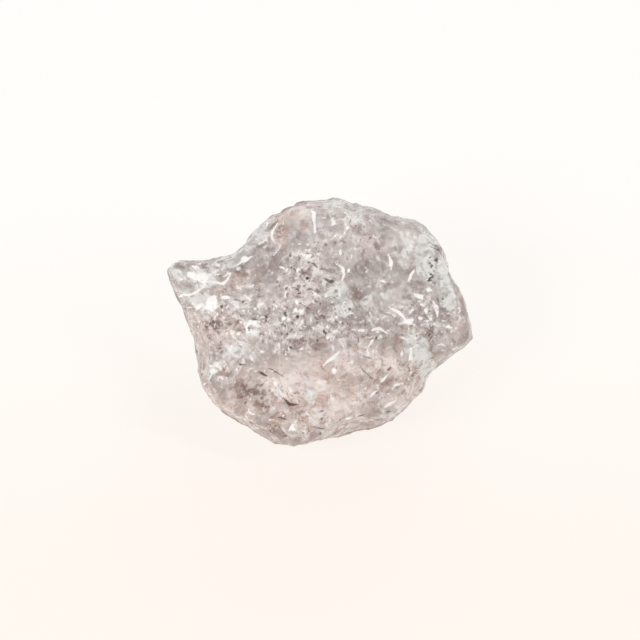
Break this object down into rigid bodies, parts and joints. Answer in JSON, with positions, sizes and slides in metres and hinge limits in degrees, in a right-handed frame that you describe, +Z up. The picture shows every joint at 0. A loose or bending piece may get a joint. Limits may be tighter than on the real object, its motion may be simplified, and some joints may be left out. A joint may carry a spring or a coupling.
{
  "type": "rough morganite crystal",
  "caption": "Rough glassy pale pink morganite, a broken see-through crystal with a blunt horn at one end, lying on a flat break.",
  "frame": {"origin": "middle of the stone's box in plan, on the surface that it rests on", "axes": "+Z up, +X to the right of the viewer along the stone's greatest length, +Y away from the viewer"},
  "size_m": [0.0218, 0.018, 0.0143],
  "materials": {
    "morganite": "gloss"
  },
  "bodies": {
    "root": {"rough_stone": "morganite"}
  },
  "joints": []
}
